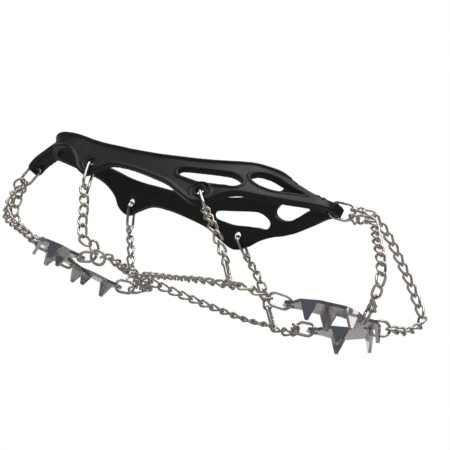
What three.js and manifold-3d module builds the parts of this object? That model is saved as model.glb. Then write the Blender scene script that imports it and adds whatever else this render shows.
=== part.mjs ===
// Shoe ice cleats: a rubber harness, steel rings, curb chains and two spiked plates.
// Millimetres, +X from heel to toe, +Y to the wearer's left, +Z up.
import * as THREE from "three";
import { mergeVertices } from "three/addons/utils/BufferGeometryUtils.js";
import Module from "manifold-3d";

const wasm = await Module();
wasm.setup();

// ---------------------------------------------------------------- driving dimensions
// Every place below is measured from the back of the heel, at the height of the shoe's sole.
const RING_WIRE = 2.0;
const LINK_WIRE = 1.8;
const LINK_WIDTH = 6.6;
const LINK_PITCH = 7.0;
const LINK_FUSE = 0.3; // how far neighbouring links press into each other, so that a run is one body
const HOOK_GAP = 0.45; // free play between a ring's wire and the chain link round it
const WELD = 0.05; // edges shorter than this are closed up where solids were joined
const LEAD = 2.5; // how far a chain leaves its hook in a straight line

const SHEET = 2.0; // thickness of the steel of both plates
const SPIKE_TIP = 1.6;
const RING_HOLE = 2.7; // radius of the plate's ring holes

const BAND = 4.0; // thickness of the harness's side band
const TAB = 5.0;
const EYELET_HOLE = 3.0;
const TAB_HOLE = 3.0;
const EYELET_BOSS = 6.2;

// Both plates are one pattern, at two sizes. Lengths run along the foot from the line through the
// two tongues that hold the arch rings: reach is positive towards the plate's bridge.
const FOREFOOT = {
  tongues: [210.2, 0],
  pitch: 8,
  towards: 1,
  tongueY: 27.5,
  spike: 11.9,
  outer: { x: 13.5, y: 38, base: 9 },
  inner: { x: 19.7, y: 14.7, base: 10 },
  corner: { x: 36.5, y: 25.7, base: 10 },
  centre: { x: 46.8, base: 10 },
  bridge: 31,
  hole: { x: 38.5, y: 7 },
  notch: { x: 40, y: 11.5 },
  lean: 8,
};
const HEEL = {
  tongues: [65.9, 0],
  pitch: -8.6,
  towards: -1,
  tongueY: 29.2,
  spike: 10.9,
  outer: { x: 12.7, y: 40, base: 8.8 },
  inner: { x: 17.9, y: 17.7, base: 9.5 },
  corner: { x: 31.8, y: 28.1, base: 9.5 },
  centre: { x: 38.6, base: 13 },
  bridge: 24,
  hole: { x: 30, y: 17 },
  notch: { x: 35.6, y: 16 },
  lean: 5,
};

// ---------------------------------------------------------------- materials
const rubber = new THREE.MeshStandardMaterial({ color: 0x1d1d1f, roughness: 0.62, metalness: 0 });
const polished = new THREE.MeshStandardMaterial({ color: 0xc8c8ca, roughness: 0.16, metalness: 1 });
const wire = new THREE.MeshStandardMaterial({ color: 0xc4bfb8, roughness: 0.24, metalness: 1 });

// ---------------------------------------------------------------- helpers
// The finished model is moved so that the origin lies on the forefoot plate's top face, at REST.
const REST = 38;
const pitch = THREE.MathUtils.degToRad(FOREFOOT.pitch);
const model = new THREE.Group();
model.position.x = -FOREFOOT.tongues[0] - REST * Math.cos(pitch);
model.position.z = -FOREFOOT.tongues[1] - REST * Math.sin(pitch);

const vec = (p) => (p.isVector3 ? p.clone() : new THREE.Vector3(...p));
const mirrored = (p) => [p[0], -p[1], p[2]];
const RIGHT = { name: "right", sign: -1 };
const LEFT = { name: "left", sign: 1 };
const SIDES = [RIGHT, LEFT];
// Points are written for the right side, where y is negative.
const onSide = (p, side) => (side === RIGHT ? p : mirrored(p));

// A closed geometry as a solid that can be joined and cut.
function solid(geometry) {
  const bare = geometry.index ? geometry.toNonIndexed() : geometry.clone();
  bare.deleteAttribute("normal");
  bare.deleteAttribute("uv");
  const merged = mergeVertices(bare, 1e-4);
  const triVerts = new Uint32Array(merged.index.array);
  const vertProperties = merged.attributes.position.array;
  const made = new wasm.Manifold(new wasm.Mesh({ numProp: 3, vertProperties, triVerts }));
  if (made.volume() > 0) return made;
  for (let i = 0; i < triVerts.length; i += 3) {
    [triVerts[i + 1], triVerts[i + 2]] = [triVerts[i + 2], triVerts[i + 1]];
  }
  return new wasm.Manifold(new wasm.Mesh({ numProp: 3, vertProperties, triVerts }));
}

function geometryOf(manifold) {
  const mesh = manifold.getMesh();
  const positions = new Float32Array(mesh.numVert * 3);
  for (let i = 0; i < mesh.numVert; i++) {
    positions.set(mesh.vertProperties.subarray(i * mesh.numProp, i * mesh.numProp + 3), i * 3);
  }
  const geometry = new THREE.BufferGeometry();
  geometry.setAttribute("position", new THREE.BufferAttribute(positions, 3));
  geometry.setIndex(new THREE.BufferAttribute(new Uint32Array(mesh.triVerts), 1));
  return geometry;
}

// swing is the line that the piece turns about, from one end that holds it to the other.
function addPiece(name, manifold, material, swing) {
  const mesh = new THREE.Mesh(geometryOf(manifold), material);
  mesh.name = name;
  if (swing) mesh.userData.swing = swing.map((p) => vec(p).toArray());
  model.add(mesh);
}

const joined = (solids) => solids.reduce((all, one) => all.add(one));

const square = (direction, along) =>
  vec(direction).addScaledVector(along, -along.dot(vec(direction))).normalize();

// A matrix whose X axis is `along` and whose Z axis is `normal`.
function placed(centre, along, normal) {
  const side = new THREE.Vector3().crossVectors(normal, along);
  return new THREE.Matrix4().makeBasis(along, side, normal).setPosition(centre);
}

// ---------------------------------------------------------------- rings and links
// An oval of round wire in the XY plane, its long side along X.
function oval(length, width, wireSize, sides, segments) {
  const bend = (width - wireSize) / 2;
  const straight = (length - width) / 2;
  const geometry = new THREE.TorusGeometry(bend, wireSize / 2, sides, segments);
  geometry.rotateZ(Math.PI / segments);
  const position = geometry.attributes.position;
  for (let i = 0; i < position.count; i++) {
    position.setX(i, position.getX(i) + straight * Math.sign(position.getX(i)));
  }
  return geometry;
}

// A ring from the hole that it hangs in to the place where the chain hooks it.
// Returns where and how a chain may hook either end: +1 is the far end, -1 the hole's. The place is
// given by its angle round the end, and pull is the way that the chain leaves it.
function addRing(name, hole, far, normal, width) {
  const from = vec(hole);
  const to = vec(far);
  const along = to.clone().sub(from).normalize();
  const up = square(vec(normal), along);
  const centre = from.clone().lerp(to, 0.5);
  const length = from.distanceTo(to) + RING_WIRE;
  const geometry = oval(length, width, RING_WIRE, 5, 12);
  geometry.applyMatrix4(placed(centre, along, up));
  addPiece(name, solid(geometry), wire, [from, to]);
  const across = new THREE.Vector3().crossVectors(up, along);
  const bend = (width - RING_WIRE) / 2;
  const straight = length / 2 - width / 2;
  return (end, degrees, pull) => {
    const turn = THREE.MathUtils.degToRad(degrees);
    const radial = along.clone().multiplyScalar(end * Math.cos(turn));
    radial.addScaledVector(across, Math.sin(turn));
    const point = centre.clone().addScaledVector(along, end * straight).addScaledVector(radial, bend);
    const leave = pull ? vec(pull).normalize() : radial;
    return { point, leave, wire: new THREE.Vector3().crossVectors(up, radial).normalize() };
  };
}

// Stations along a curve with a normal that turns as little as the curve does.
function frames(curve, places, firstNormal) {
  const steps = 200;
  let normal = square(firstNormal, curve.getTangentAt(0));
  const table = [];
  for (let i = 0; i <= steps; i++) {
    const along = curve.getTangentAt(i / steps);
    normal = square(normal, along);
    table.push(normal.clone());
  }
  return places.map((u) => {
    const along = curve.getTangentAt(u);
    return { point: curve.getPointAt(u), along, normal: square(table[Math.round(u * steps)], along) };
  });
}

// A run of chain between two hooks. Every second link stands across its neighbours, and the run
// twists evenly so that both end links stand square to the wire that they hook.
function addChain(name, start, middle, end) {
  const lead = (hook) => hook.point.clone().addScaledVector(hook.leave, LEAD);
  const points = [start.point, lead(start), ...middle.map(vec), lead(end), end.point];
  const curve = new THREE.CatmullRomCurve3(points, false, "centripetal");
  const length = curve.getLength();
  const reach = RING_WIRE / 2 + LINK_WIRE / 2 + HOOK_GAP;
  const spare = 2 * reach - LINK_WIRE + LINK_FUSE;
  const count = Math.round((length + spare) / LINK_PITCH);
  const pitch = (length + spare) / count;
  const linkLength = pitch + 2 * LINK_WIRE - LINK_FUSE;
  const first = (linkLength - LINK_WIRE) / 2 - reach;
  const places = [...Array(count).keys()].map((i) => (first + i * pitch) / length);
  const stations = frames(curve, places, start.wire);
  const last = stations[count - 1];
  const goal = square(end.wire, last.along);
  const side = new THREE.Vector3().crossVectors(last.along, last.normal);
  let twist = Math.atan2(goal.dot(side), goal.dot(last.normal)) - ((count - 1) * Math.PI) / 2;
  twist -= Math.PI * Math.round(twist / Math.PI);
  const links = stations.map(({ point, along, normal }, i) => {
    const turn = (i * Math.PI) / 2 + (twist * i) / Math.max(1, count - 1);
    const geometry = oval(linkLength, LINK_WIDTH, LINK_WIRE, 4, 8);
    geometry.applyMatrix4(placed(point, along, normal.clone().applyAxisAngle(along, turn)));
    return solid(geometry);
  });
  addPiece(name, joined(links).simplify(WELD), wire, [start.point, end.point]);
}

// ---------------------------------------------------------------- spiked plates
// One half of the plate's outline, from the bridge's outer edge to its inner edge, seen flat.
function plateHalf(p) {
  const rim = THREE.MathUtils.degToRad(60);
  const half = p.corner.base / 2;
  const edge = { x: half * Math.cos(rim), y: half * Math.sin(rim) };
  return [
    [p.centre.x, p.centre.base / 2],
    [p.notch.x + 1.6, p.notch.y - 2.6],
    [p.notch.x, p.notch.y],
    [p.corner.x + edge.x, p.corner.y - edge.y],
    [p.corner.x - edge.x, p.corner.y + edge.y],
    [p.outer.x + p.outer.base / 2 + 2, p.outer.y],
    [p.outer.x - p.outer.base / 2 - 1, p.outer.y],
    [3.5, p.tongueY + 5.6],
    [-2.5, p.tongueY + 4.6],
    [-5, p.tongueY],
    [-2.5, p.tongueY - 4.6],
    [4, p.tongueY - 5.6],
    [p.inner.x - p.inner.base / 2 - 1, p.inner.y],
    [p.inner.x + p.inner.base / 2, p.inner.y],
    [p.bridge - 0.6, p.inner.y * 0.62],
    [p.bridge, p.inner.y * 0.3],
  ];
}

function plateShape(p) {
  const half = plateHalf(p).map(([x, y]) => new THREE.Vector2(x, y));
  const other = half.map((q) => new THREE.Vector2(q.x, -q.y)).reverse();
  const shape = new THREE.Shape([...half, ...other]);
  for (const sign of [-1, 1]) {
    shape.holes.push(new THREE.Path().absarc(0, sign * p.tongueY, RING_HOLE, 0, 2 * Math.PI, true));
    shape.holes.push(new THREE.Path().absarc(p.hole.x, sign * p.hole.y, RING_HOLE, 0, 2 * Math.PI, true));
  }
  return shape;
}

// A spike of sheet bent down at the plate's edge. facing is the way its outer face looks, in degrees.
function spike(x, y, base, height, facing, lean) {
  const shape = new THREE.Shape([
    new THREE.Vector2(-base / 2, 0),
    new THREE.Vector2(-base / 2, -SHEET),
    new THREE.Vector2(-SPIKE_TIP / 2, -height),
    new THREE.Vector2(SPIKE_TIP / 2, -height),
    new THREE.Vector2(base / 2, -SHEET),
    new THREE.Vector2(base / 2, 0),
  ]);
  const geometry = new THREE.ExtrudeGeometry(shape, { depth: SHEET, bevelEnabled: false });
  geometry.translate(0, 0, -SHEET);
  geometry.rotateX(Math.PI / 2);
  geometry.rotateX(THREE.MathUtils.degToRad(-lean));
  geometry.rotateZ(THREE.MathUtils.degToRad(facing + 90));
  geometry.translate(x, y, 0);
  return solid(geometry);
}

function addPlate(name, p) {
  const settings = { depth: SHEET, bevelEnabled: false, curveSegments: 6 };
  const flat = new THREE.ExtrudeGeometry(plateShape(p), settings);
  flat.translate(0, 0, -SHEET);
  const parts = [solid(flat), spike(p.centre.x, 0, p.centre.base, p.spike, 0, p.lean)];
  for (const sign of [-1, 1]) {
    const { outer, inner, corner } = p;
    parts.push(spike(outer.x, sign * outer.y, outer.base, p.spike, sign * 90, 0));
    parts.push(spike(inner.x, sign * inner.y, inner.base, p.spike, sign * -90, 0));
    parts.push(spike(corner.x, sign * corner.y, corner.base, p.spike, sign * 30, p.lean));
  }
  const geometry = geometryOf(joined(parts));
  if (p.towards < 0) geometry.rotateZ(Math.PI);
  geometry.rotateY(THREE.MathUtils.degToRad(-p.pitch));
  geometry.translate(p.tongues[0], 0, p.tongues[1]);
  const hold = onPlate(p, p.hole.x / 2, 0);
  const across = hold.clone().setY(1);
  addPiece(name, solid(geometry), polished, [hold, across]);
}

// A place on a plate's middle surface, from its flat pattern.
function onPlate(p, x, y) {
  const turn = THREE.MathUtils.degToRad(p.pitch);
  const reach = p.towards * x;
  const [tongueX, tongueZ] = p.tongues;
  const depth = -SHEET / 2;
  return new THREE.Vector3(
    tongueX + reach * Math.cos(turn) - depth * Math.sin(turn),
    y,
    tongueZ + reach * Math.sin(turn) + depth * Math.cos(turn),
  );
}

// ---------------------------------------------------------------- harness
// A curved sheet between two edge lines: u runs along it and v across it, both from 0 to 1.
// Returns the place at u and v that lies `out` above the sheet's middle surface.
function sheet(edgeA, edgeB) {
  const lineA = new THREE.CatmullRomCurve3(edgeA.map(vec));
  const lineB = new THREE.CatmullRomCurve3(edgeB.map(vec));
  const middle = (u, v) => lineA.getPoint(u).lerp(lineB.getPoint(u), v);
  const step = 1e-3;
  return (u, v, out) => {
    const along = middle(Math.min(1, u + step), v).sub(middle(Math.max(0, u - step), v));
    const across = middle(u, 1).sub(middle(u, 0));
    return middle(u, v).addScaledVector(along.cross(across).normalize(), out);
  };
}

// Moves every vertex of a geometry, taken as u, v and a height, onto the sheet.
function wrapped(geometry, at) {
  const position = geometry.attributes.position;
  for (let i = 0; i < position.count; i++) {
    const point = at(position.getX(i), position.getY(i), position.getZ(i));
    position.setXYZ(i, point.x, point.y, point.z);
  }
  return solid(geometry);
}

function strip(at, thickness, stations, rows) {
  const geometry = new THREE.BoxGeometry(1, 1, thickness, stations, rows, 1);
  geometry.translate(0.5, 0.5, 0);
  return wrapped(geometry, at);
}

// A hole through a sheet. The outline's points are stations along the sheet and shares across it.
function opening(at, outline, stations) {
  const points = outline.map(([station, across]) => new THREE.Vector3(station / stations, across, 0));
  const curve = new THREE.CatmullRomCurve3(points, true);
  const flat = curve.getSpacedPoints(OPENING_SIDES).slice(1).map((p) => new THREE.Vector2(p.x, p.y));
  const shape = new THREE.Shape(flat);
  const geometry = new THREE.ExtrudeGeometry(shape, { depth: OPENING_DEPTH, bevelEnabled: false });
  geometry.translate(0, 0, -OPENING_DEPTH / 2);
  return wrapped(geometry, at);
}

// The right side's band, from the back of the heel to the toe tab, by its top and lower edges.
const BAND_TOP = [
  [3.6, 0, 82.4],
  [8.6, -10.8, 83],
  [17.4, -19, 82.2],
  [30, -25.5, 80],
  [40, -28, 78.2],
  [46, -29.3, 77],
  [53, -30.2, 75.9],
  [60, -30.7, 75],
  [69, -31.1, 74.3],
  [82, -31.6, 73.6],
  [100, -31.4, 73.8],
  [114, -30.8, 74.8],
  [124, -30, 75.8],
  [136, -28.4, 77.6],
  [145, -26.5, 79.3],
  [152, -24.2, 80.9],
  [161, -20.6, 82.6],
  [169, -14.6, 83.4],
  [176, -8.6, 82.6],
  [183, -5.5, 79.6],
  [190, -5, 76.4],
  [198, -5, 73.4],
  [206, -5, 71.4],
];
const BAND_LOW = [
  [3.6, 0, 71.4],
  [8.6, -10.8, 72.4],
  [17.4, -20, 72.2],
  [30, -27.5, 69.5],
  [40, -31.5, 62],
  [46, -33.6, 54],
  [53, -34.6, 51],
  [60, -34.4, 55.5],
  [69, -34.2, 60.5],
  [82, -34.6, 60.6],
  [100, -36.3, 57.5],
  [114, -38, 53.8],
  [124, -39.3, 48.6],
  [136, -40.4, 43.8],
  [145, -39.6, 47.4],
  [152, -38.6, 52.6],
  [161, -36.8, 56.4],
  [169.5, -33.2, 57.6],
  [178, -28.4, 59.2],
  [186, -22.8, 61.4],
  [194, -16.8, 63.8],
  [201, -10.6, 66],
  [207.5, -5.8, 67.8],
];
// Openings in the band, by station along it and share of the way from its top to its lower edge.
const SLOT = [
  [11.26, 0.5], [11.45, 0.38], [12, 0.32], [13, 0.27], [14.4, 0.34], [15.3, 0.48],
  [15.8, 0.7], [15.5, 0.79], [14.5, 0.66], [13.1, 0.54], [12.2, 0.56], [11.5, 0.58],
];
const TEARDROP = [
  [16.1, 0.5], [16.1, 0.38], [16.7, 0.28], [17.4, 0.27], [18.4, 0.31], [19.3, 0.33],
  [20, 0.36], [19.4, 0.52], [18.6, 0.64], [17.7, 0.7], [17, 0.67], [16.5, 0.61],
];
const OPENING_SIDES = 30;
const OPENING_DEPTH = 12;
// The strap over the instep joins the two bands, by its rear and front edges.
const STRAP_REAR = [[157, -23, 80.6], [165, -17, 82.6], [171, -9, 83.8], [174, 0, 84.2]];
const STRAP_FRONT = [[168, -17, 79.6], [175, -11, 80.8], [180, -5, 81], [182, 0, 81]];
const TOE_TAB = [
  [177, 0, 82],
  [184, 0, 79.2],
  [191, 0, 75.6],
  [199, 0, 72.8],
  [206, 0, 71.2],
  [214.5, 0, 69.6],
];
const TOE_TAB_WIDTH = 12;
const HEEL_TAB = [[4, 0, 76.4], [-1.2, 0, 71.6], [-6.4, 0, 64.8], [-9.8, 0, 57]];
const HEEL_TAB_WIDTH = 13;

const HEEL_EYELET = [53.8, -33.2, 60];
const FRONT_EYELET = [136.6, -38, 53];
const TOE_HOLE = [206.6, 0, 71.1];
const HEEL_HOLE = [-7.6, 0, 62.4];

// A rod of constant section that crosses the rubber, for holes and bosses. facing is the outward way.
function crossing(shape, centre, along, facing, depth) {
  const geometry = new THREE.ExtrudeGeometry(shape, { depth, bevelEnabled: false, curveSegments: 6 });
  geometry.translate(0, 0, -depth / 2);
  const out = vec(facing).normalize();
  geometry.applyMatrix4(placed(vec(centre), square(vec(along), out), out));
  return solid(geometry);
}

const disc = (radius) => new THREE.Shape().absarc(0, 0, radius, 0, 2 * Math.PI);

const EYELET_FACING = [0, -1, 0.23];
const TOE_FACING = [0.2, 0, 1];
const HEEL_FACING = [-1, 0, 0.45];
const LENGTHWISE = [1, 0, 0];

function tab(line, width, taper) {
  const edge = (sign) =>
    line.map(([x, , z], i) => [x, (sign * width) / 2 * (1 - (taper * i) / (line.length - 1)), z]);
  return strip(sheet(edge(-1), edge(1)), TAB, 6, 1);
}

function harness() {
  const parts = [tab(TOE_TAB, TOE_TAB_WIDTH, 0.12), tab(HEEL_TAB, HEEL_TAB_WIDTH, 0.1)];
  const cuts = [
    crossing(disc(TAB_HOLE), TOE_HOLE, LENGTHWISE, TOE_FACING, 16),
    crossing(disc(TAB_HOLE), HEEL_HOLE, [0, 1, 0], HEEL_FACING, 16),
  ];
  for (const side of SIDES) {
    const put = (list) => list.map((p) => onSide(p, side));
    const band = sheet(put(BAND_TOP), put(BAND_LOW));
    parts.push(strip(band, BAND, 44, 2));
    parts.push(strip(sheet(put(STRAP_REAR), put(STRAP_FRONT)), BAND, 8, 1));
    cuts.push(opening(band, SLOT, BAND_TOP.length - 1));
    cuts.push(opening(band, TEARDROP, BAND_TOP.length - 1));
    for (const eyelet of [HEEL_EYELET, FRONT_EYELET]) {
      const centre = onSide(eyelet, side);
      const facing = onSide(EYELET_FACING, side);
      parts.push(crossing(disc(EYELET_BOSS), centre, LENGTHWISE, facing, BAND + 1));
      cuts.push(crossing(disc(EYELET_HOLE), centre, LENGTHWISE, facing, 20));
    }
  }
  return joined(parts).subtract(joined(cuts)).simplify(WELD);
}
addPiece("harness", harness(), rubber);

// ---------------------------------------------------------------- plates
addPlate("forefoot_plate", FOREFOOT);
addPlate("heel_plate", HEEL);

// ---------------------------------------------------------------- rings and chains
const ACROSS = [0, 1, 0];
const toeRing = addRing("toe_ring", TOE_HOLE, [223, 0, 70.2], ACROSS, 13);
const heelTabRing = addRing("heel_tab_ring", HEEL_HOLE, [-14, 0, 47.6], ACROSS, 11);

const archRing = addRing("arch_ring", [99, -8.5, 1.2], [99, 8.5, 1.2], [0, 0, 1], 11);

// Places of one side's rings, written for the right side.
const PLACES = {
  heelEyeletEnd: [57.2, -36.8, 41.6],
  frontEyeletEnd: [146, -41.8, 41],
  heelJunction: { from: [75.6, -30.6, -0.6], to: [85.2, -31.6, 1.2] },
  heelFrontEnd: [78.6, -30.8, 0.2],
  heelRearEnd: [24.4, -17, 5.6],
  forefootRearEnd: [197.2, -31, -0.4],
  connector: { from: [169.6, -44.4, 11.6], to: [177.6, -45, -1.6] },
};
// The rings and chains at the toe and at the back of the heel, one entry a side.
const TOE_ENDS = { right: [254.8, -18, 9.2], left: [260, 14.4, 7.6] };
const TOE_PULLS = { right: [0.38, -0.87, 0.33], left: [0.66, 0.69, 0.28] };
const TOE_PATHS = {
  right: [
    [237.6, -9.6, 64.6],
    [248.2, -23.8, 48.6],
    [255.8, -31.4, 35.2],
    [259.8, -34.4, 22.4],
    [257.8, -28.6, 13],
  ],
  left: [
    [232.6, 5.2, 73.4],
    [242.6, 13.4, 65.4],
    [253, 24.4, 52.6],
    [264, 34.6, 37],
    [272, 36.6, 22.6],
    [267.6, 27.6, 12.4],
  ],
};
const HEEL_BACK_PATH = [
  [-16, -3.5, 38.6],
  [-15.6, -4.8, 28.4],
  [-10.6, -8, 20],
  [0, -11.6, 15],
  [13, -15, 10.2],
];
const HEEL_SIDE_PATH = [[61.6, -38, 31], [66.6, -39, 16.4], [70.6, -38, 8]];
const FRONT_SIDE_PATH = [[153, -45.4, 33.6], [160.8, -46.2, 24.4]];
const HEEL_ARCH_PATH = [[92, -22, 1]];
const MID_ARCH_PATH = [[121.6, -19.4, 0.3], [140, -30, -0.6], [160, -39.6, -1.2]];
const OUTER_PATH = [[186.6, -45.6, -1.6], [193, -40.6, -1.2]];

for (const side of SIDES) {
  const at = (p) => onSide(p, side);
  const list = (points) => points.map(at);
  const s = side.sign;
  const ring = (name, from, to, normal, width) => addRing(`${name}_${side.name}`, from, to, normal, width);
  const chain = (name, start, middle, end) => addChain(`${name}_${side.name}`, start, middle, end);

  const heelEyelet = ring("heel_eyelet_ring", at(HEEL_EYELET), at(PLACES.heelEyeletEnd), LENGTHWISE, 11);
  const frontEyelet = ring("front_eyelet_ring", at(FRONT_EYELET), at(PLACES.frontEyeletEnd), LENGTHWISE, 11);

  // rings in the plates' holes stand upright, so that their wire goes through the sheet
  const heelTongue = onPlate(HEEL, 0, s * HEEL.tongueY);
  ring("heel_plate_front_ring", heelTongue, at(PLACES.heelFrontEnd), at([0, 1, -0.4]), 10);
  const { from: junctionFrom, to: junctionTo } = PLACES.heelJunction;
  const junctionNormal = at([0.1, -0.8, -0.6]);
  const heelJunction = ring("heel_junction_ring", at(junctionFrom), at(junctionTo), junctionNormal, 11.5);

  const heelHole = onPlate(HEEL, HEEL.hole.x, s * HEEL.hole.y);
  const heelRear = ring("heel_plate_rear_ring", heelHole, at(PLACES.heelRearEnd), ACROSS, 9);

  const foreTongue = onPlate(FOREFOOT, 0, s * FOREFOOT.tongueY);
  const foreRear = ring("forefoot_plate_rear_ring", foreTongue, at(PLACES.forefootRearEnd), ACROSS, 10);

  const foreHole = onPlate(FOREFOOT, FOREFOOT.hole.x, s * FOREFOOT.hole.y);
  const toeEnd = TOE_ENDS[side.name];
  const foreWay = vec(toeEnd).sub(foreHole).normalize();
  const foreFrontNormal = new THREE.Vector3().crossVectors(foreWay, new THREE.Vector3(0, 0, 1));
  foreHole.addScaledVector(foreWay, 0.5);
  const foreFront = ring("forefoot_plate_front_ring", foreHole, toeEnd, foreFrontNormal, 11);

  const { from: connectorFrom, to: connectorTo } = PLACES.connector;
  const connector = ring("side_connector", at(connectorFrom), at(connectorTo), LENGTHWISE, 10.5);

  const toeStart = toeRing(1, s * -28, [0.8, s * 0.46, s * 0.4 - 0.04]);
  chain("toe_chain", toeStart, TOE_PATHS[side.name], foreFront(1, 0, TOE_PULLS[side.name]));
  chain("heel_back_chain", heelTabRing(1, s * 26), list(HEEL_BACK_PATH), heelRear(1, 0));
  const junctionTop = heelJunction(-1, s * -72, at([-0.25, -0.4, 0.85]));
  chain("heel_side_chain", heelEyelet(1, 0), list(HEEL_SIDE_PATH), junctionTop);
  chain("front_side_chain", frontEyelet(1, 0), list(FRONT_SIDE_PATH), connector(-1, 0));
  chain("heel_arch_chain", heelJunction(1, 0), list(HEEL_ARCH_PATH), archRing(s, 52));
  const sideRear = connector(1, s * -30, at([-0.86, 0.5, 0.05]));
  const sideFront = connector(1, s * 30, at([0.98, -0.15, 0]));
  chain("mid_arch_chain", archRing(s, -48), list(MID_ARCH_PATH), sideRear);
  chain("outer_sole_chain", sideFront, list(OUTER_PATH), foreRear(1, 0, at([-0.55, -0.83, 0])));
}

export default model;
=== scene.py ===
"""Shoe ice cleats: a moulded rubber harness, steel rings, curb chains and two spiked plates.

Places are in millimetres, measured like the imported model's own drawing: x from the back of the
heel towards the toe, y to the wearer's left, z up from the shoe's sole. place() turns them into
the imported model's frame, whose origin is on the forefoot plate's upper face.
"""

import math

import bmesh
import bpy
from mathutils import Matrix, Vector

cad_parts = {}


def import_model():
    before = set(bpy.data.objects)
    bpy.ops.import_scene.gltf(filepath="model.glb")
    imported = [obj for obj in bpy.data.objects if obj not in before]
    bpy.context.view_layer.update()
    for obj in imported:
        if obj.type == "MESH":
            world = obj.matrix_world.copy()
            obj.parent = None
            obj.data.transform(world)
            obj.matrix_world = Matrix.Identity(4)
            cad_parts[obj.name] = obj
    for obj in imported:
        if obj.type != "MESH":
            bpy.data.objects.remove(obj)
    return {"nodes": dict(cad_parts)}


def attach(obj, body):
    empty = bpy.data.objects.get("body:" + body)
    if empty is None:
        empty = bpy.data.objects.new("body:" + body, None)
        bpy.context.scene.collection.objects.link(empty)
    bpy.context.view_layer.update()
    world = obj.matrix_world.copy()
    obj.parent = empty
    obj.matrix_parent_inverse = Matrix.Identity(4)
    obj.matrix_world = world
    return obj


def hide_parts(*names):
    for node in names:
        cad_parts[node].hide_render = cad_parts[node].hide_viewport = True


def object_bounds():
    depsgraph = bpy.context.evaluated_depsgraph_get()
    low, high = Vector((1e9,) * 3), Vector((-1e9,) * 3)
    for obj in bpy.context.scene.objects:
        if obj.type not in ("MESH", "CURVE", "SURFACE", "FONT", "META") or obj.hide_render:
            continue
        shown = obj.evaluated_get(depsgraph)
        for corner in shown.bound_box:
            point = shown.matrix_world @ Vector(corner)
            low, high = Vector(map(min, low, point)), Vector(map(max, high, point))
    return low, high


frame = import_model()
cad_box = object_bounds()

MM = 0.001

# ---------------------------------------------------------------- the frame's origin
PLATE_PITCH = math.radians(8)
FORE_TONGUE_X = 210.2  # where the forefoot plate's rear tongues are
REST = 38  # from there to the middle of its front part
ORIGIN = Vector((FORE_TONGUE_X + REST * math.cos(PLATE_PITCH), 0, REST * math.sin(PLATE_PITCH)))
SIDES = {"right": -1, "left": 1}

# ---------------------------------------------------------------- wire sizes
RING_WIRE = 2.0
LINK_WIRE = 1.75
LINK_WIDTH = 6.7
LINK_PITCH = 7.0
LINK_SLACK = 0.1  # how far a link is short of bearing on the next one
HOOK_GAP = 0.45  # play between a ring's wire and the link hooked on it
WALK_STEP = 0.5
LEAD = 2.5  # how far a chain runs straight away from its hook
TWIST = 45  # degrees, from a link's middle to its end
FREE_LINKS = 3  # links at each end of a chain which turn from the hook's way to the chain's own
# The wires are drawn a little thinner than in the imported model, so that hooks don't rub.
RING_RADIUS = 0.95
LINK_RADIUS = 0.82
WELD_NECK = 0.72  # the share of a ring's radius at its weld
RING_SIDES = 12
LINK_SIDES = 10
RIM_SIDES = 8


def place(point):
    return (Vector(point) - ORIGIN) * MM


def on_side(point, sign):
    """Points are written for the right side, where y is negative."""
    return Vector((point[0], -sign * point[1], point[2]))


# ---------------------------------------------------------------- mesh helpers
def new_object(name, verts, faces, smooth=True):
    mesh = bpy.data.meshes.new(name)
    mesh.from_pydata([tuple(v) for v in verts], [], faces)
    mesh.validate()
    if smooth:
        mesh.shade_smooth()
    obj = bpy.data.objects.new(name, mesh)
    bpy.context.scene.collection.objects.link(obj)
    return obj


def tube_mesh(points, radius, normals, sides, closed):
    """A round tube through points. normals are across the tube at each point."""
    verts = []
    count = len(points)
    for i, point in enumerate(points):
        if closed:
            along = points[(i + 1) % count] - points[i - 1]
        else:
            along = points[min(i + 1, count - 1)] - points[max(i - 1, 0)]
        along.normalize()
        across = normals[i] - along * along.dot(normals[i])
        across.normalize()
        other = along.cross(across)
        size = radius(i) if callable(radius) else radius
        for k in range(sides):
            turn = 2 * math.pi * k / sides
            verts.append(point + (across * math.cos(turn) + other * math.sin(turn)) * size)
    faces = []
    rows = count if closed else count - 1
    for i in range(rows):
        j = (i + 1) % count
        for k in range(sides):
            m = (k + 1) % sides
            faces.append((i * sides + k, i * sides + m, j * sides + m, j * sides + k))
    if not closed:
        faces.append(tuple(range(sides - 1, -1, -1)))
        faces.append(tuple((count - 1) * sides + k for k in range(sides)))
    return verts, faces


def merge_lists(parts):
    verts = []
    faces = []
    for more_verts, more_faces in parts:
        base = len(verts)
        verts += more_verts
        faces += [tuple(base + k for k in face) for face in more_faces]
    return verts, faces


# ---------------------------------------------------------------- curves
def spline_point(points, t, before=None):
    """A centripetal Catmull-Rom curve through points, t from 0 to 1 with equal steps a point.

    before is the point which comes before the first, if the curve goes on there.
    """
    last = len(points) - 1
    where = min(max(t, 0), 1) * last
    k = min(int(where), last - 1)
    w = where - k
    p1, p2 = points[k], points[k + 1]
    p0 = points[k - 1] if k > 0 else before or p1 * 2 - p2
    p3 = points[k + 2] if k + 2 <= last else p2 * 2 - p1
    d0, d1, d2 = (max((b - a).length, 1e-6) ** 0.5 for a, b in ((p0, p1), (p1, p2), (p2, p3)))
    start = ((p1 - p0) / d0 - (p2 - p0) / (d0 + d1) + (p2 - p1) / d1) * d1
    end = ((p2 - p1) / d1 - (p3 - p1) / (d1 + d2) + (p3 - p2) / d2) * d1
    bend = p1 * -3 + p2 * 3 - start * 2 - end
    pull = p1 * 2 - p2 * 2 + start + end
    return p1 + start * w + bend * w * w + pull * w * w * w


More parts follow.
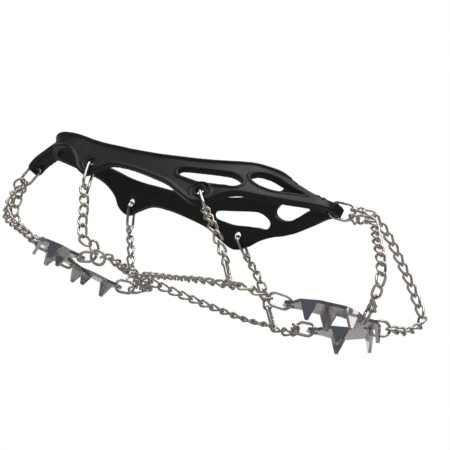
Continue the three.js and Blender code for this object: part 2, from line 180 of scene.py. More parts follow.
class Path:
    """A spline measured by its length."""

    STEPS = 400

    def __init__(self, points):
        points = [Vector(p) for p in points]
        self.fine = [spline_point(points, i / self.STEPS) for i in range(self.STEPS + 1)]
        self.reach = [0.0]
        for a, b in zip(self.fine, self.fine[1:]):
            self.reach.append(self.reach[-1] + (b - a).length)
        self.length = self.reach[-1]

    def at(self, s):
        s = min(max(s, 0), self.length)
        k = 0
        while k < self.STEPS - 1 and self.reach[k + 1] < s:
            k += 1
        span = self.reach[k + 1] - self.reach[k]
        return self.fine[k].lerp(self.fine[k + 1], (s - self.reach[k]) / span)

    def along(self, s):
        return (self.at(s + 0.4) - self.at(s - 0.4)).normalized()


def square(direction, along):
    direction = Vector(direction)
    return (direction - along * along.dot(direction)).normalized()


# ---------------------------------------------------------------- materials
def material(name):
    made = bpy.data.materials.new(name)
    made.use_nodes = True
    return made, made.node_tree.nodes, made.node_tree.links


def noise(nodes, links, scale, detail, source="Object", stretch=(1, 1, 1)):
    coords = nodes.new("ShaderNodeTexCoord")
    mapping = nodes.new("ShaderNodeMapping")
    mapping.inputs["Scale"].default_value = stretch
    texture = nodes.new("ShaderNodeTexNoise")
    texture.inputs["Scale"].default_value = scale
    texture.inputs["Detail"].default_value = detail
    links.new(coords.outputs[source], mapping.inputs["Vector"])
    links.new(mapping.outputs["Vector"], texture.inputs["Vector"])
    return texture.outputs["Fac"]


def ramp(nodes, links, source, low, high, start=0.3, end=0.7):
    made = nodes.new("ShaderNodeMapRange")
    made.inputs["From Min"].default_value = start
    made.inputs["From Max"].default_value = end
    made.inputs["To Min"].default_value = low
    made.inputs["To Max"].default_value = high
    links.new(source, made.inputs["Value"])
    return made.outputs["Result"]


def mixed(nodes, links, factor, a, b):
    made = nodes.new("ShaderNodeMix")
    made.data_type = "RGBA"
    made.inputs["A"].default_value = (*a, 1)
    made.inputs["B"].default_value = (*b, 1)
    links.new(factor, made.inputs["Factor"])
    return made.outputs["Result"]


def bumped(nodes, links, height, strength, distance):
    made = nodes.new("ShaderNodeBump")
    made.inputs["Strength"].default_value = strength
    made.inputs["Distance"].default_value = distance
    links.new(height, made.inputs["Height"])
    return made.outputs["Normal"]


def rubber():
    made, nodes, links = material("moulded_rubber")
    shader = nodes["Principled BSDF"]
    cloud = noise(nodes, links, 90, 4)
    grain = noise(nodes, links, 2600, 3)
    colour = mixed(nodes, links, cloud, (0.004, 0.004, 0.0045), (0.009, 0.009, 0.01))
    links.new(colour, shader.inputs["Base Color"])
    links.new(ramp(nodes, links, cloud, 0.4, 0.54), shader.inputs["Roughness"])
    links.new(bumped(nodes, links, grain, 0.25, 0.00008), shader.inputs["Normal"])
    shader.inputs["Specular IOR Level"].default_value = 0.32
    return made


def steel(name, dark, light, rough, scratch=(1, 1, 1)):
    """dark and light are its two tones, rough the range of its roughness, scratch the way it is brushed."""
    made, nodes, links = material(name)
    shader = nodes["Principled BSDF"]
    shader.inputs["Metallic"].default_value = 1
    cloud = noise(nodes, links, 160, 5)
    lines = noise(nodes, links, 500, 2, stretch=scratch)
    links.new(mixed(nodes, links, cloud, dark, light), shader.inputs["Base Color"])
    links.new(ramp(nodes, links, lines, rough[0], rough[1]), shader.inputs["Roughness"])
    links.new(bumped(nodes, links, lines, 0.05, 0.00005), shader.inputs["Normal"])
    return made


RUBBER = rubber()
PLATE = steel("polished_plate", (0.6, 0.59, 0.58), (0.74, 0.72, 0.7), (0.08, 0.22), (1, 6, 1))
RING = steel("drawn_ring_wire", (0.5, 0.46, 0.42), (0.66, 0.62, 0.57), (0.12, 0.24))
CHAIN = steel("chain_wire", (0.44, 0.405, 0.365), (0.64, 0.585, 0.53), (0.12, 0.26))


def dress(obj, made):
    obj.data.materials.clear()
    obj.data.materials.append(made)


# ---------------------------------------------------------------- plates
PLATE_BEVEL = 0.6
SHARPEST_FLAT = math.radians(25)  # edges that turn by less than this aren't rounded


def finish_plate(name):
    """The pressed plate keeps its CAD shape. Its edges and folds are rounded."""
    plate = frame["nodes"][name]
    bevel = plate.modifiers.new("rounded_edges", "BEVEL")
    bevel.width = PLATE_BEVEL * MM
    bevel.segments = 3
    bevel.limit_method = "ANGLE"
    bevel.angle_limit = SHARPEST_FLAT
    plate.data.materials.clear()
    plate.data.materials.append(PLATE)


# ---------------------------------------------------------------- rings
class Ring:
    """An oval ring of wire between two ends, lying in the plane square to normal."""

    ARC_STEPS = 14
    STRAIGHT = (0.6, 0.3, 0.1, 0, -0.1, -0.3, -0.6)  # places along a straight side, the weld at 0
    WELD = ARC_STEPS + 1 + STRAIGHT.index(0)

    def __init__(self, start, end, normal, width):
        self.start = Vector(start)
        self.end = Vector(end)
        self.along = (self.end - self.start).normalized()
        self.up = square(normal, self.along)
        self.across = self.up.cross(self.along)
        self.bend = (width - RING_WIRE) / 2
        self.straight = (self.end - self.start).length / 2 + RING_WIRE / 2 - width / 2
        self.centre = self.start.lerp(self.end, 0.5)

    def centreline(self):
        points = []
        for end in (1, -1):
            for i in range(self.ARC_STEPS + 1):
                turn = math.pi * (i / self.ARC_STEPS - 0.5)
                x = end * (self.straight + self.bend * math.cos(turn))
                y = end * self.bend * math.sin(turn)
                points.append(self.centre + self.along * x + self.across * y)
            for share in self.STRAIGHT:
                x = end * self.straight * share
                points.append(self.centre + self.along * x + self.across * (end * self.bend))
        return points

    def build(self, name, body):
        points = self.centreline()

        def thickness(i):
            return RING_RADIUS * (WELD_NECK if i == self.WELD else 1)

        normals = [self.up] * len(points)
        verts, faces = tube_mesh(points, thickness, normals, RING_SIDES, True)
        ring = new_object(name, [place(v) for v in verts], faces)
        dress(ring, RING)
        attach(ring, body)
        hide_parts(body)
        return self

    def hook(self, end, degrees=0, pull=None):
        """Where a chain hooks on: its place, the way it leaves and the way of the wire there."""
        turn = math.radians(degrees)
        radial = self.along * (end * math.cos(turn)) + self.across * math.sin(turn)
        point = self.centre + self.along * (end * self.straight) + radial * self.bend
        leave = Vector(pull).normalized() if pull is not None else radial
        return point, leave, self.up.cross(radial).normalized()


# ---------------------------------------------------------------- chains
def curb_link(length, hand, steps=7):
    """A link twisted a quarter turn from end to end. Returns its centreline and cross directions."""
    bend = (LINK_WIDTH - LINK_WIRE) / 2
    straight = (length - LINK_WIDTH) / 2
    flat = []
    for end in (1, -1):
        for i in range(steps + 1):
            turn = math.pi * (i / steps - 0.5)
            flat.append((end * (straight + bend * math.cos(turn)), end * bend * math.sin(turn)))
        flat.append((0, end * bend))
    reach = straight + bend
    points = []
    normals = []
    for x, y in flat:
        turn = hand * math.radians(TWIST) * x / reach
        points.append(Vector((x, y * math.cos(turn), y * math.sin(turn))))
        normals.append(Vector((0, -math.sin(turn), math.cos(turn))))
    return points, normals


def nearest_half_turn(angle, goal):
    """The angle nearest to the given one that differs from goal by half turns."""
    return goal + math.pi * round((angle - goal) / math.pi)


def build_chain(name, start, middle, end, hand, facing=None):
    """A run of curb links between two hooks.

    hand is 1 or -1: the way its links are twisted. A chain with a facing lies flat to that
    direction between its ends, as it does against a shoe.
    """
    point_a, leave_a, wire_a = start
    point_b, leave_b, wire_b = end
    path = Path([point_a, point_a + leave_a * LEAD, *middle, point_b + leave_b * LEAD, point_b])
    reach = RING_WIRE / 2 + LINK_WIRE / 2 + HOOK_GAP
    spare = 2 * reach - LINK_WIRE
    count = round((path.length + spare) / LINK_PITCH)
    pitch = (path.length + spare) / count
    length = pitch + 2 * LINK_WIRE - LINK_SLACK
    first = (length - LINK_WIRE) / 2 - reach
    places = [first + i * pitch for i in range(count)]
    normal = square(wire_a, path.along(places[0]))
    stations = []
    walk = places[0]
    for s in places:
        while walk < s:
            walk = min(walk + WALK_STEP, s)
            normal = square(normal, path.along(walk))
        stations.append((path.at(s), path.along(s), normal.copy()))
    along, normal = stations[-1][1:]
    goal = square(wire_b, along)
    side = along.cross(normal)
    twist = math.atan2(goal.dot(side), goal.dot(normal)) - math.pi / 2
    twist -= math.pi * round(twist / math.pi)
    parts = []
    for i, (centre, along, normal) in enumerate(stations):
        turn = hand * math.radians(TWIST) + twist * i / max(1, count - 1)
        if facing is not None:
            flat = square(facing, along)
            lie = math.atan2(flat.dot(along.cross(normal)), flat.dot(normal))
            weight = min(1, i / FREE_LINKS, (count - 1 - i) / FREE_LINKS)
            turn += (nearest_half_turn(turn, lie) - turn) * weight
        up = Matrix.Rotation(turn, 3, along) @ normal
        basis = Matrix((along, up.cross(along), up)).transposed()
        points, normals = curb_link(length, hand)
        points = [place(centre + basis @ p) for p in points]
        normals = [basis @ n for n in normals]
        parts.append(tube_mesh(points, LINK_RADIUS * MM, normals, LINK_SIDES, True))
    verts, faces = merge_lists(parts)
    chain = new_object(name + "_links", verts, faces)
    dress(chain, CHAIN)
    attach(chain, name)
    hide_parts(name)


ACROSS = (0, 1, 0)
LENGTHWISE = (1, 0, 0)
UPWARD = (0, 0, 1)
HEEL_PITCH = math.radians(-8.6)
HEEL_TONGUE_X = 65.9


def on_plate(tongue_x, pitch, towards, x, y):
    """A point in the middle of a tilted plate, x in front of or behind its tongues."""
    reach = towards * x
    depth = -1
    return Vector((
        tongue_x + reach * math.cos(pitch) - depth * math.sin(pitch),
        y,
        reach * math.sin(pitch) + depth * math.cos(pitch),
    ))


TOE_HOLE = (206.6, 0, 71.1)
HEEL_HOLE = (-7.6, 0, 62.4)
HEEL_EYELET = (53.8, -33.2, 60)
FRONT_EYELET = (136.6, -38, 53)
# each ring's far end, on the right where there are two, and its width
RINGS = {
    "toe_ring": ((223, 0, 70.2), 13),
    "heel_tab_ring": ((-14, 0, 47.6), 11),
    "arch_ring": ((99, 8.5, 1.2), 11),
    "heel_eyelet_ring": ((57.2, -36.8, 41.6), 11),
    "front_eyelet_ring": ((146, -41.8, 41), 11),
    "heel_plate_front_ring": ((78.6, -30.8, 0.2), 10),
    "heel_junction_ring": ((85.2, -31.6, 1.2), 11.5),
    "heel_plate_rear_ring": ((24.4, -17, 5.6), 9),
    "forefoot_plate_rear_ring": ((197.2, -31, -0.4), 10),
    "side_connector": ((177.6, -45, -1.6), 10.5),
}
# the starts of the rings which hang on other rings and chains only
ARCH_START = (99, -8.5, 1.2)
JUNCTION_START = (75.6, -30.6, -0.6)
CONNECTOR_START = (169.6, -44.4, 11.6)
# places on the plates: how far from the tongues and from the middle plane
HEEL_TONGUE_Y = 29.2
HEEL_HOLE_PLACE = (30, 17)
FORE_TONGUE_Y = 27.5
FORE_HOLE_PLACE = (38.5, 7)
# the forefoot plate's front rings lie askew, so each has its own end and its own pull
FORE_FRONT_WIDTH = 11
TOE_ENDS = {"right": (254.8, -18, 9.2), "left": (260, 14.4, 7.6)}
TOE_PULLS = {"right": (0.38, -0.87, 0.33), "left": (0.66, 0.69, 0.28)}
TOE_PATHS = {
    "right": ((237.6, -9.6, 64.6), (248.2, -23.8, 48.6), (255.8, -31.4, 35.2), (259.8, -34.4, 22.4),
              (257.8, -28.6, 13)),
    "left": ((232.6, 5.2, 73.4), (242.6, 13.4, 65.4), (253, 24.4, 52.6), (264, 34.6, 37),
             (272, 36.6, 22.6), (267.6, 27.6, 12.4)),
}
HEEL_BACK_PATH = (
    (-16, -3.5, 38.6), (-15.6, -4.8, 28.4), (-10.6, -8, 20), (0, -11.6, 15), (13, -15, 10.2),
)
HEEL_SIDE_PATH = ((61.6, -38, 31), (66.6, -39, 16.4), (70.6, -38, 8))
FRONT_SIDE_PATH = ((153, -45.4, 33.6), (160.8, -46.2, 24.4))
HEEL_ARCH_PATH = ((92, -22, 1),)
MID_ARCH_PATH = ((121.6, -19.4, 0.3), (140, -30, -0.6), (160, -39.6, -1.2))
OUTER_PATH = ((186.6, -45.6, -1.6), (193, -40.6, -1.2))
# the way the flat of a chain faces, where it lies against a shoe
TOE_CHAIN_FACING = (0.45, -0.85, 0.3)
SIDE_CHAIN_FACING = (0.3, -1, 0)


def plain_ring(body, start, normal):
    end, width = RINGS[body]
    return Ring(start, end, normal, width).build(body + "_wire", body)


def fore_front_ring(side, sign):
    """It stands upright and points from its hole in the forefoot plate to where its chain pulls."""
    name = "forefoot_plate_front_ring_" + side
    x, y = FORE_HOLE_PLACE
    hole = on_plate(FORE_TONGUE_X, PLATE_PITCH, 1, x, sign * y)
    end = Vector(TOE_ENDS[side])
    way = (end - hole).normalized()
    upright = way.cross(Vector(UPWARD))
    return Ring(hole + way * 0.5, end, upright, FORE_FRONT_WIDTH).build(name + "_wire", name)


def hardware():
    """All the rings and chains.

    A hook is an end of a ring, the degrees round that end and the way its chain leaves.
    """
    toe = plain_ring("toe_ring", TOE_HOLE, ACROSS)
    heel_tab = plain_ring("heel_tab_ring", HEEL_HOLE, ACROSS)
    arch = plain_ring("arch_ring", ARCH_START, UPWARD)

    for side, sign in SIDES.items():
        def at(point):
            return on_side(point, sign)

        def ring(body, start, normal):
            name = body + "_" + side
            end, width = RINGS[body]
            return Ring(start, at(end), normal, width).build(name + "_wire", name)

        def chain(body, start, middle, end, facing=None):
            build_chain(body + "_" + side, start, [Vector(p) for p in middle], end, sign, facing)

        heel_eyelet = ring("heel_eyelet_ring", at(HEEL_EYELET), LENGTHWISE)
        front_eyelet = ring("front_eyelet_ring", at(FRONT_EYELET), LENGTHWISE)
        heel_tongue = on_plate(HEEL_TONGUE_X, HEEL_PITCH, -1, 0, sign * HEEL_TONGUE_Y)
        ring("heel_plate_front_ring", heel_tongue, at((0, 1, -0.4)))
        junction = ring("heel_junction_ring", at(JUNCTION_START), at((0.1, -0.8, -0.6)))
        x, y = HEEL_HOLE_PLACE
        heel_hole = on_plate(HEEL_TONGUE_X, HEEL_PITCH, -1, x, sign * y)
        heel_rear = ring("heel_plate_rear_ring", heel_hole, ACROSS)
        fore_tongue = on_plate(FORE_TONGUE_X, PLATE_PITCH, 1, 0, sign * FORE_TONGUE_Y)
        fore_rear = ring("forefoot_plate_rear_ring", fore_tongue, ACROSS)
        fore_front = fore_front_ring(side, sign)
        connector = ring("side_connector", at(CONNECTOR_START), LENGTHWISE)

        start = toe.hook(1, sign * -28, (0.8, sign * 0.46, sign * 0.4 - 0.04))
        end = fore_front.hook(1, 0, TOE_PULLS[side])
        chain("toe_chain", start, TOE_PATHS[side], end, at(TOE_CHAIN_FACING))

        start = heel_tab.hook(1, sign * 26)
        chain("heel_back_chain", start, map(at, HEEL_BACK_PATH), heel_rear.hook(1))

        end = junction.hook(-1, sign * -72, at((-0.25, -0.4, 0.85)))
        chain("heel_side_chain", heel_eyelet.hook(1), map(at, HEEL_SIDE_PATH), end, at(SIDE_CHAIN_FACING))

        start = front_eyelet.hook(1)
        end = connector.hook(-1)
        chain("front_side_chain", start, map(at, FRONT_SIDE_PATH), end, at(SIDE_CHAIN_FACING))

        chain("heel_arch_chain", junction.hook(1), map(at, HEEL_ARCH_PATH), arch.hook(sign, 52))

        end = connector.hook(1, sign * -30, at((-0.86, 0.5, 0.05)))
        chain("mid_arch_chain", arch.hook(sign, -48), map(at, MID_ARCH_PATH), end)

        start = connector.hook(1, sign * 30, at((0.98, -0.15, 0)))
        end = fore_rear.hook(1, 0, at((-0.55, -0.83, 0)))
        chain("outer_sole_chain", start, map(at, OUTER_PATH), end)


# ---------------------------------------------------------------- harness
BAND = 4.0
TAB = 5.0
EYELET_HOLE = 2.9
TAB_HOLE = 3.0
BAND_TOP = (
    (3.6, 0, 82.4), (8.6, -10.8, 83), (17.4, -19, 82.2), (30, -25.5, 80),
    (40, -28, 78.2), (46, -29.3, 77), (53, -30.2, 75.9), (60, -30.7, 75),
    (69, -31.1, 74.3), (82, -31.6, 73.6), (100, -31.4, 73.8), (114, -30.8, 74.8),
    (124, -30, 75.8), (136, -28.4, 77.6), (145, -26.5, 79.3), (152, -24.2, 80.9),
    (161, -20.6, 82.6), (169, -14.6, 83.4), (176, -8.6, 82.6), (183, -5.5, 79.6),
    (190, -5, 76.4), (198, -5, 73.4), (206, -5, 71.4),
)
BAND_LOW = (
    (3.6, 0, 71.4), (8.6, -10.8, 72.4), (17.4, -20, 72.2), (30, -27.5, 69.5),
    (40, -31.5, 62), (46, -33.6, 54), (53, -34.6, 51), (60, -34.4, 55.5),
    (69, -34.2, 60.5), (82, -34.6, 60.6), (100, -36.3, 57.5), (114, -38, 53.8),
    (124, -39.3, 48.6), (136, -40.4, 43.8), (145, -39.6, 47.4), (152, -38.6, 52.6),
    (161, -36.8, 56.4), (169.5, -33.2, 57.6), (178, -28.4, 59.2), (186, -22.8, 61.4),
    (194, -16.8, 63.8), (201, -10.6, 66), (207.5, -5.8, 67.8),
)
# openings in the band, by station along it and share of the way from its top to its lower edge
SLOT = (
    (11.26, 0.5), (11.45, 0.38), (12, 0.32), (13, 0.27), (14.4, 0.34), (15.3, 0.48),
    (15.8, 0.7), (15.5, 0.79), (14.5, 0.66), (13.1, 0.54), (12.2, 0.56), (11.5, 0.58),
)
TEARDROP = (
    (16.1, 0.5), (16.1, 0.38), (16.7, 0.28), (17.4, 0.27), (18.4, 0.31), (19.3, 0.33),
    (20, 0.36), (19.4, 0.52), (18.6, 0.64), (17.7, 0.7), (17, 0.67), (16.5, 0.61),
)
# the strap over the instep, from the band to the middle plane
STRAP_REAR = ((157, -23, 80.6), (165, -17, 82.6), (171, -9, 83.8), (174, 0, 84.2))
STRAP_FRONT = ((168, -17, 79.6), (175, -11, 80.8), (180, -5, 81), (182, 0, 81))
# the tabs' middle lines
TOE_TAB = ((177, 0, 79.6), (184, 0, 77.8), (191, 0, 75.2), (199, 0, 72.8), (206, 0, 71.2), (214.5, 0, 69.6))
HEEL_TAB = ((5, 0, 78.6), (-0.8, 0, 71.8), (-6.4, 0, 64.8), (-9.8, 0, 57))
TOE_TAB_DEPTH = 6.0
TOE_TAB_WIDTH = 12
HEEL_TAB_WIDTH = 13
TAB_STATIONS = 24
ROUND_FROM = 0.84  # the share of a tab's length where its corners begin
ROUNDING = 0.72
TAB_RIBS = ((198.4, 73), (202.4, 72), (211, 70.3))  # x and z of the ribs across the toe tab
TAB_RIB_Y = 5.2
TOP_RIB_RADIUS = 1.4
SIDE_RIB_RADIUS = 1.5
TOP_RIB_SINK = 0.7
RIM = 1.2  # the radius of the beads along the edges
RIM_SINK = 0.1
BAND_RIMS = (0.03, 0.97)  # shares of the way from the band's top to its lower edge
STRAP_RIM = 0.06
OPENING_RIM = 1.35  # from an opening's edge to the middle of its bead
STRAP_FROM = 18.4  # the station where the top rim ends, past the strap over the instep
COLLAR = 4.3  # the raised collar around each eyelet, and the thin bead around that
COLLAR_RISE = 0.7
LOOP = 6.4
LOOP_RADIUS = 0.6
LOOP_SINK = 0.2
THROUGH = 20  # how long the plugs that cut the eyelets' holes are, and those of the tabs
TAB_THROUGH = 16
FOOT_FROM, FOOT_TO, FOOT_HEIGHT = 32, 232, 30  # the foot's middle line, which the band faces away from
VOXEL = 0.45
SOFTENING = 4
# stations along and rows across each sheet
BAND_GRID = (200, 16)
STRAP_GRID = (50, 8)
TAB_GRID = (60, 8)


class Sheet:
    """A curved sheet between two edge lines; u runs along it and v from edge a to edge b."""

    def __init__(self, edge_a, edge_b, thickness):
        self.edge_a = [Vector(p) for p in edge_a]
        self.edge_b = [Vector(p) for p in edge_b]
        self.thickness = thickness
        self.before_a = self.mirrored(self.edge_a)
        self.before_b = self.mirrored(self.edge_b)

    @staticmethod
    def mirrored(edge):
        """An edge that starts in the middle plane goes on smoothly on the other side."""
        return Vector((edge[1].x, -edge[1].y, edge[1].z)) if edge[0].y == 0 else None

    def middle(self, u, v):
        low = spline_point(self.edge_a, u, self.before_a)
        high = spline_point(self.edge_b, u, self.before_b)
        return low.lerp(high, v)

    def normal(self, u, v):
        step = 0.004
        low, high = max(0, u - step), min(1, u + step)
        along = self.middle(high, v) - self.middle(low, v)
        across = self.middle(u, 1) - self.middle(u, 0)
        out = along.cross(across).normalized()
        point = self.middle(u, v)
        core = Vector((min(max(point.x, FOOT_FROM), FOOT_TO), 0, FOOT_HEIGHT))
        return out if out.dot(point - core) > 0 else -out

    def at(self, u, v, out=0.0):
        return self.middle(u, v) + self.normal(u, v) * out

    def solid(self, stations, rows):
        """The sheet with its thickness: an outer and an inner face, two edges and two ends."""
        verts = []
        for out in (self.thickness / 2, -self.thickness / 2):
            for i in range(stations + 1):
                verts += [self.at(i / stations, k / rows, out) for k in range(rows + 1)]
        width = rows + 1
        inner = width * (stations + 1)
        faces = []
        for i in range(stations):
            for k in range(rows):
                a, b = i * width + k, (i + 1) * width + k
                faces.append((a, b, b + 1, a + 1))
                faces.append((inner + a + 1, inner + b + 1, inner + b, inner + a))
            for k in (0, rows):
                a, b = i * width + k, (i + 1) * width + k
                side = (a, a + inner, b + inner, b)
                faces.append(side if k == 0 else side[::-1])
        for i in (0, stations):
            for k in range(rows):
                a = i * width + k
                end = (a + 1, a + 1 + inner, a + inner, a)
                faces.append(end if i == 0 else end[::-1])
        return verts, faces

    def rim(self, v, start=0.0, end=1.0, steps=160):
        """A raised bead along the sheet's outer face."""
        points = []
        normals = []
        for i in range(steps + 1):
            u = start + (end - start) * i / steps
            points.append(self.at(u, v, self.thickness / 2 - RIM_SINK))
            normals.append(self.normal(u, v))
        return tube_mesh(points, RIM, normals, RIM_SIDES, False)

    def outline(self, stations, steps=64):
        """A smooth closed outline on the sheet, as u and v pairs."""
        points = [Vector((u / (len(self.edge_a) - 1), v, 0)) for u, v in stations]
        wrapped = [*points[-2:], *points, *points[:3]]
        span = len(wrapped) - 1
        first = 2 / span
        share = len(points) / span
        return [spline_point(wrapped, first + share * k / steps)[:2] for k in range(steps)]

    def opening(self, stations, reach=6):
        """A plug with that outline, square to the sheet, which cuts the hole."""
        outline = self.outline(stations)
        verts = []
        for out in (reach, -reach):
            verts += [self.at(u, v, out) for u, v in outline]
        count = len(outline)
        faces = [(k, k + count, (k + 1) % count + count, (k + 1) % count) for k in range(count)]
        for base in (0, count):
            centre = len(verts)
            verts.append(sum(verts[base:base + count], Vector()) / count)
            for k in range(count):
                edge = (base + k, base + (k + 1) % count, centre)
                faces.append(edge if base == 0 else edge[::-1])
        return verts, faces

    def opening_rim(self, stations):
        """A raised bead around an opening."""
        outline = self.outline(stations)
        middle = sum((self.at(u, v) for u, v in outline), Vector()) / len(outline)
        points = []
        normals = []
        for k, (u, v) in enumerate(outline):
            out = self.normal(u, v)
            here = self.at(u, v)
            along = self.at(*outline[(k + 1) % len(outline)]) - self.at(*outline[k - 1])
            away = along.cross(out).normalized()
            if away.dot(here - middle) < 0:
                away = -away
            points.append(here + away * OPENING_RIM + out * (self.thickness / 2 - RIM_SINK))
            normals.append(out)
        return tube_mesh(points, RIM, normals, RIM_SIDES, True)


def rod(centre, facing, along, outline, depth):
    """A straight prism with that outline, for holes and bosses."""
    out = Vector(facing).normalized()
    x = square(along, out)
    y = out.cross(x)
    centre = Vector(centre)
    count = len(outline)
    verts = [centre + x * p + y * q + out * (depth / 2) for p, q in outline]
    verts += [centre + x * p + y * q - out * (depth / 2) for p, q in outline]
    faces = [tuple(range(count)), tuple(range(2 * count - 1, count - 1, -1))]
    for k in range(count):
        m = (k + 1) % count
        faces.append((k, k + count, m + count, m))
    return verts, faces


def circle(radius, count=36):
    turns = [2 * math.pi * k / count for k in range(count)]
    return [(radius * math.cos(turn), radius * math.sin(turn)) for turn in turns]


def loop_rim(centre, facing, along, outline, radius, lift):
    """A thin bead along a flat outline."""
    out = Vector(facing).normalized()
    x = square(along, out)
    y = out.cross(x)
    points = [Vector(centre) + x * p + y * q + out * lift for p, q in outline]
    return tube_mesh(points, radius, [out] * len(points), RIM_SIDES, True)


def joined_object(name, parts):
    """One object of many closed parts, with all faces turned outwards."""
    verts, faces = merge_lists(parts)
    obj = new_object(name, [place(v) for v in verts], faces, smooth=False)
    fix = bmesh.new()
    fix.from_mesh(obj.data)
    bmesh.ops.recalc_face_normals(fix, faces=fix.faces)
    fix.to_mesh(obj.data)
    fix.free()
    return obj


def apply_modifiers(obj):
    graph = bpy.context.evaluated_depsgraph_get()
    made = bpy.data.meshes.new_from_object(obj.evaluated_get(graph))
    old = obj.data
    obj.modifiers.clear()
    obj.data = made
    bpy.data.meshes.remove(old)


EYELET_FACING = (0, -1, 0.23)
TOE_FACING = (0.2, 0, 1)
HEEL_FACING = (-1, 0, 0.45)


def tab_sheet(line, width, depth):
    """A strip along a line, with its end's corners rounded."""
    line = [Vector(p) for p in line]
    edges = ([], [])
    for i in range(TAB_STATIONS + 1):
        share = i / TAB_STATIONS
        rounding = max(0, (share - ROUND_FROM) / (1 - ROUND_FROM))
        half = width / 2 * math.sqrt(1 - ROUNDING * rounding * rounding)
        middle = spline_point(line, share)
        for edge, sign in zip(edges, (-1, 1)):
            edge.append(middle + Vector((0, sign * half, 0)))
    return Sheet(*edges, depth)


def tabs():
    """The solids and the holes of both tabs."""
    toe = tab_sheet(TOE_TAB, TOE_TAB_WIDTH, TOE_TAB_DEPTH)
    heel = tab_sheet(HEEL_TAB, HEEL_TAB_WIDTH, TAB)
    solids = [toe.solid(*TAB_GRID), heel.solid(*TAB_GRID)]
    out = Vector(TOE_FACING).normalized()
    for x, z in TAB_RIBS:
        top = Vector((x, 0, z)) + out * (TOE_TAB_DEPTH / 2 - TOP_RIB_SINK)
        solids.append(rod(top, ACROSS, LENGTHWISE, circle(TOP_RIB_RADIUS, 16), 2 * TAB_RIB_Y + 1))
        for sign in SIDES.values():
            centre = (x, sign * TAB_RIB_Y, z)
            solids.append(rod(centre, TOE_FACING, LENGTHWISE, circle(SIDE_RIB_RADIUS, 16), TOE_TAB_DEPTH))
    cuts = [
        rod(TOE_HOLE, TOE_FACING, LENGTHWISE, circle(TAB_HOLE), TAB_THROUGH),
        rod(HEEL_HOLE, HEEL_FACING, ACROSS, circle(TAB_HOLE), TAB_THROUGH),
    ]
    return solids, cuts


def band_side(sign):
    """The solids and the holes of one side's band, with its half of the instep strap."""
    def put(points):
        return [on_side(p, sign) for p in points]

    band = Sheet(put(BAND_TOP), put(BAND_LOW), BAND)
    strap = Sheet(put(STRAP_REAR), put(STRAP_FRONT), BAND)
    top_rim, low_rim = BAND_RIMS
    solids = [
        band.solid(*BAND_GRID),
        band.rim(top_rim, end=STRAP_FROM / (len(BAND_TOP) - 1)),
        band.rim(low_rim),
        strap.solid(*STRAP_GRID),
        strap.rim(STRAP_RIM, start=0.2),
    ]
    cuts = []
    for outline in (SLOT, TEARDROP):
        solids.append(band.opening_rim(outline))
        cuts.append(band.opening(outline))
    facing = on_side(EYELET_FACING, sign)
    for eyelet in (HEEL_EYELET, FRONT_EYELET):
        centre = on_side(eyelet, sign)
        solids.append(rod(centre, facing, LENGTHWISE, circle(COLLAR), BAND + COLLAR_RISE))
        lift = BAND / 2 - LOOP_SINK
        solids.append(loop_rim(centre, facing, LENGTHWISE, circle(LOOP), LOOP_RADIUS, lift))
        cuts.append(rod(centre, facing, LENGTHWISE, circle(EYELET_HOLE), THROUGH))
    return solids, cuts


def add_fuse(obj):
    """A voxel remesh, which makes one skin of all that overlaps."""
    fuse = obj.modifiers.new("fuse", "REMESH")
    fuse.mode = "VOXEL"
    fuse.voxel_size = VOXEL * MM


def harness():
    """One soft-edged moulding: the solids are fused, the holes are cut and the whole is smoothed."""
    solids, cuts = tabs()
    for sign in SIDES.values():
        more_solids, more_cuts = band_side(sign)
        solids += more_solids
        cuts += more_cuts
    body = joined_object("harness_rubber", solids)
    add_fuse(body)
    apply_modifiers(body)
    cutter = joined_object("cutter", cuts)
    hole = body.modifiers.new("hole", "BOOLEAN")
    hole.operation = "DIFFERENCE"
    hole.object = cutter
    hole.solver = "EXACT"
    add_fuse(body)
    soften = body.modifiers.new("soften", "SMOOTH")
    soften.factor = 0.5
    soften.iterations = SOFTENING
    apply_modifiers(body)
    bpy.data.objects.remove(cutter)
    body.data.shade_smooth()
    dress(body, RUBBER)
    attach(body, "harness")
    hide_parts("harness")


finish_plate("heel_plate")
finish_plate("forefoot_plate")
hardware()
harness()

# ---------------------------------------------------------------- camera
AZIMUTH, ELEVATION, ROLL = math.radians(24.4), math.radians(-15.7), math.radians(18.3)
TARGET = (142.1, 0, 47.1)
DISTANCE = 711
LENS = 89.04


def camera():
    """The camera looks up at the cleat from beside and below it, turned about its own axis."""
    flat = math.cos(ELEVATION)
    back = Vector((math.sin(AZIMUTH) * flat, -math.cos(AZIMUTH) * flat, math.sin(ELEVATION)))
    level = Vector((math.cos(AZIMUTH), math.sin(AZIMUTH), 0))
    rise = back.cross(level)
    right = level * math.cos(ROLL) + rise * math.sin(ROLL)
    up = rise * math.cos(ROLL) - level * math.sin(ROLL)
    data = bpy.data.cameras.new("camera")
    data.lens = LENS
    data.sensor_width = 36
    data.clip_start = 0.01
    obj = bpy.data.objects.new("camera", data)
    basis = Matrix((right, up, back)).transposed().to_4x4()
    basis.translation = place(TARGET) + back * DISTANCE * MM
    obj.matrix_world = basis
    bpy.context.scene.collection.objects.link(obj)
    bpy.context.scene.camera = obj


# ---------------------------------------------------------------- floor and light
FLOOR_SIZE = 2.5
FLOOR_DROP = 0.0006
FLOOR_FADE = (0.17, 0.5)  # metres from the cleat's middle, where the floor turns into the background
FLOOR_SEEN = (0.82, 0.82, 0.82)
FLOOR_MIRRORED = (0.46, 0.455, 0.45)
# the sky that lights the cleat and is mirrored in it: height from 0 below to 1 above, value, tint
GREY = (1, 1, 1)
BLUE = (0.8, 0.92, 1.15)
SKY = (
    (0.0, 0.2, GREY), (0.4, 0.14, GREY), (0.48, 0.04, BLUE), (0.58, 0.13, BLUE), (0.64, 0.3, BLUE),
    (0.68, 0.08, BLUE), (0.76, 0.55, GREY), (0.84, 0.08, GREY), (1.0, 0.85, GREY),
)
SKY_STRENGTH = 0.6
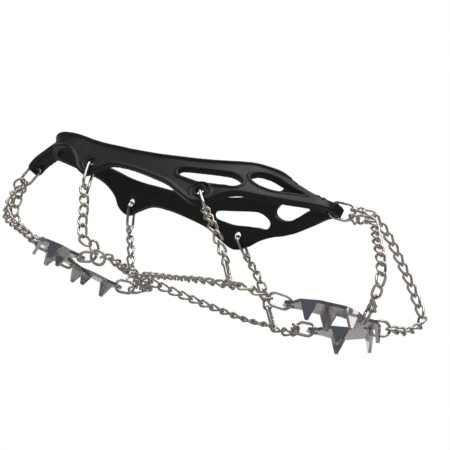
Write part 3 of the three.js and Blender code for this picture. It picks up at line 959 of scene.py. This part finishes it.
# name, offset from the cleat's middle in metres, size in metres, watts
LIGHTS = (
    ("key", (0.1, -0.35, 0.95), (1.1, 1.1), 10),
    ("toe", (0.75, 0.18, 0.56), (0.5, 0.5), 0.8),
    ("heel", (-0.75, -0.5, 0.45), (0.15, 0.5), 0.8),
    ("back", (-0.55, 0.78, 0.35), (0.9, 0.8), 2),
)


def floor():
    """A pale floor under the spikes, seen from above only, because the camera looks up from under it.

    Steel mirrors it in a darker grey, as it would mirror a shoe's sole. Far off it turns white.
    """
    height = cad_box[0][2] - FLOOR_DROP
    corners = ((-1, -1), (1, -1), (1, 1), (-1, 1))
    verts = [(x * FLOOR_SIZE, y * FLOOR_SIZE, height) for x, y in corners]
    obj = new_object("floor", verts, [(0, 1, 2, 3)], smooth=False)
    made, nodes, links = material("pale_floor")
    shader = nodes["Principled BSDF"]
    shader.inputs["Roughness"].default_value = 0.7
    rays = nodes.new("ShaderNodeLightPath")
    seen = rays.outputs["Is Camera Ray"]
    links.new(mixed(nodes, links, seen, FLOOR_MIRRORED, FLOOR_SEEN), shader.inputs["Base Color"])
    clear = nodes.new("ShaderNodeBsdfTransparent")
    under = nodes.new("ShaderNodeNewGeometry")
    white = nodes.new("ShaderNodeEmission")
    white.inputs["Color"].default_value = (1, 1, 1, 1)
    reach = nodes.new("ShaderNodeVectorMath")
    reach.operation = "DISTANCE"
    reach.inputs[1].default_value = (*place((150, 0, 0)).xy, height)
    links.new(under.outputs["Position"], reach.inputs[0])
    fading = nodes.new("ShaderNodeMath")
    fading.operation = "MULTIPLY"
    links.new(ramp(nodes, links, reach.outputs["Value"], 0, 1, *FLOOR_FADE), fading.inputs[0])
    links.new(seen, fading.inputs[1])
    far = nodes.new("ShaderNodeMixShader")
    links.new(fading.outputs["Value"], far.inputs["Fac"])
    links.new(shader.outputs["BSDF"], far.inputs[1])
    links.new(white.outputs["Emission"], far.inputs[2])
    mix = nodes.new("ShaderNodeMixShader")
    links.new(under.outputs["Backfacing"], mix.inputs["Fac"])
    links.new(far.outputs["Shader"], mix.inputs[1])
    links.new(clear.outputs["BSDF"], mix.inputs[2])
    links.new(mix.outputs["Shader"], nodes["Material Output"].inputs["Surface"])
    obj.data.materials.append(made)


def area_light(name, at, towards, size, power):
    data = bpy.data.lights.new(name, "AREA")
    data.shape = "RECTANGLE"
    data.size, data.size_y = size
    data.energy = power
    obj = bpy.data.objects.new(name, data)
    obj.location = at
    obj.rotation_euler = (Vector(towards) - Vector(at)).to_track_quat("-Z", "Y").to_euler()
    obj.visible_camera = False
    bpy.context.scene.collection.objects.link(obj)


def world():
    """A graded sky for the light and the mirroring, and a plain white background for the camera."""
    made = bpy.data.worlds.new("studio")
    made.use_nodes = True
    nodes = made.node_tree.nodes
    links = made.node_tree.links
    coords = nodes.new("ShaderNodeTexCoord")
    split = nodes.new("ShaderNodeSeparateXYZ")
    links.new(coords.outputs["Generated"], split.inputs["Vector"])
    tone = nodes.new("ShaderNodeValToRGB")
    for where, value, tint in SKY[1:-1]:
        tone.color_ramp.elements.new(where)
    for element, (where, value, tint) in zip(tone.color_ramp.elements, SKY):
        element.position = where
        element.color = (*(value * part for part in tint), 1)
    half = nodes.new("ShaderNodeMapRange")
    half.inputs["From Min"].default_value = -1
    links.new(split.outputs["Z"], half.inputs["Value"])
    links.new(half.outputs["Result"], tone.inputs["Fac"])
    lit = nodes["Background"]
    lit.inputs["Strength"].default_value = SKY_STRENGTH
    links.new(tone.outputs["Color"], lit.inputs["Color"])
    plain = nodes.new("ShaderNodeBackground")
    plain.inputs["Color"].default_value = (1, 1, 1, 1)
    rays = nodes.new("ShaderNodeLightPath")
    mix = nodes.new("ShaderNodeMixShader")
    links.new(rays.outputs["Is Camera Ray"], mix.inputs["Fac"])
    links.new(lit.outputs["Background"], mix.inputs[1])
    links.new(plain.outputs["Background"], mix.inputs[2])
    links.new(mix.outputs["Shader"], nodes["World Output"].inputs["Surface"])
    bpy.context.scene.world = made


camera()
floor()
world()
middle = place((130, 0, 30))
for name, offset, size, power in LIGHTS:
    area_light(name, middle + Vector(offset), middle, size, power)
bpy.context.scene.view_settings.view_transform = "Standard"
